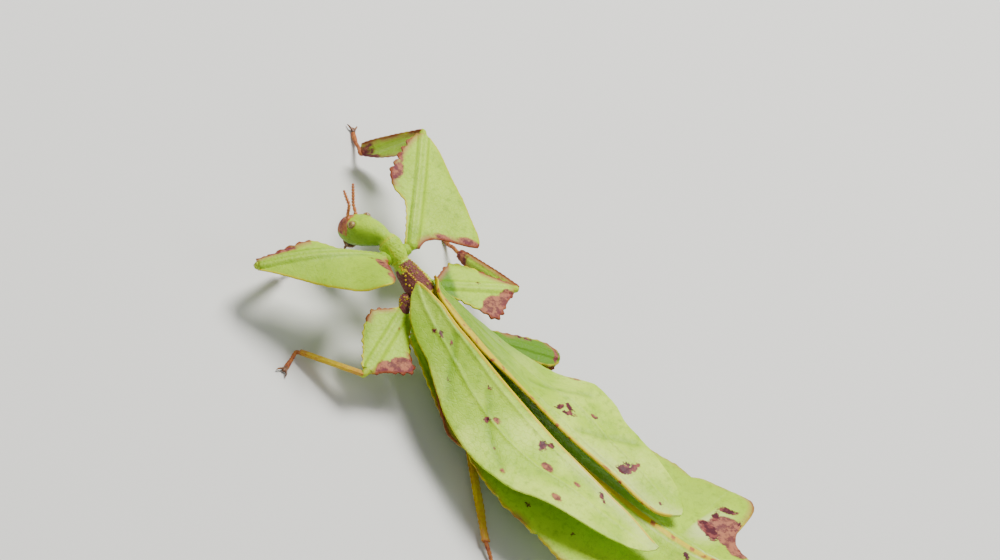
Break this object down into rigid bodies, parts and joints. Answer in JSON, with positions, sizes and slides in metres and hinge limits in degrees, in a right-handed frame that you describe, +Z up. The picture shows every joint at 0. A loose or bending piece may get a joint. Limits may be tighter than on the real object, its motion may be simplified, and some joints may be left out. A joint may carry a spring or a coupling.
{
  "type": "leaf insect model",
  "caption": "Life-size leaf insect, a female standing on all its legs, with leaf-shaped wings and flat leafy lobes on abdomen and legs.",
  "frame": {"origin": "centre of the bounding box's footprint, on the floor under the feet", "axes": "-Y the way the head points, +X the animal's left, +Z up"},
  "size_m": [0.0584, 0.1205, 0.024],
  "materials": {
    "skin_green": "satin, finely grained",
    "wing_green": "satin, leaf-like veins",
    "head_green": "satin, finely grained",
    "mauve": "matt, grainy",
    "brown": "matt",
    "eye_olive": "glossy"
  },
  "bodies": {
    "root": {"abdomen_front": "skin_green", "abdomen_middle": "skin_green", "abdomen_rear": "skin_green", "abdomen_tip": "skin_green", "antenna_left": "brown", "antenna_right": "brown", "cercus_left": "skin_green", "cercus_right": "skin_green", "claws_fore_left": "brown", "claws_fore_right": "brown", "claws_hind_left": "brown", "claws_hind_right": "brown", "claws_middle_left": "brown", "claws_middle_right": "brown", "coxa_fore_left": "skin_green", "coxa_fore_right": "skin_green", "coxa_hind_left": "skin_green", "coxa_hind_right": "skin_green", "coxa_middle_left": "skin_green", "coxa_middle_right": "skin_green", "eye_left": "eye_olive", "eye_right": "eye_olive", "femur_fore_left": "skin_green", "femur_fore_right": "skin_green", "femur_hind_left": "skin_green", "femur_hind_right": "skin_green", "femur_middle_left": "skin_green", "femur_middle_right": "skin_green", "head": "head_green", "mesothorax": "mauve", "metathorax": "skin_green", "mouthparts": "brown", "prothorax": "head_green", "tarsus_fore_left": "brown", "tarsus_fore_right": "brown", "tarsus_hind_left": "brown", "tarsus_hind_right": "brown", "tarsus_middle_left": "brown", "tarsus_middle_right": "brown", "tegmen_left": "wing_green", "tegmen_right": "wing_green", "tibia_fore_left": "skin_green", "tibia_fore_right": "skin_green", "tibia_hind_left": "skin_green", "tibia_hind_right": "skin_green", "tibia_middle_left": "skin_green", "tibia_middle_right": "skin_green"}
  },
  "joints": []
}
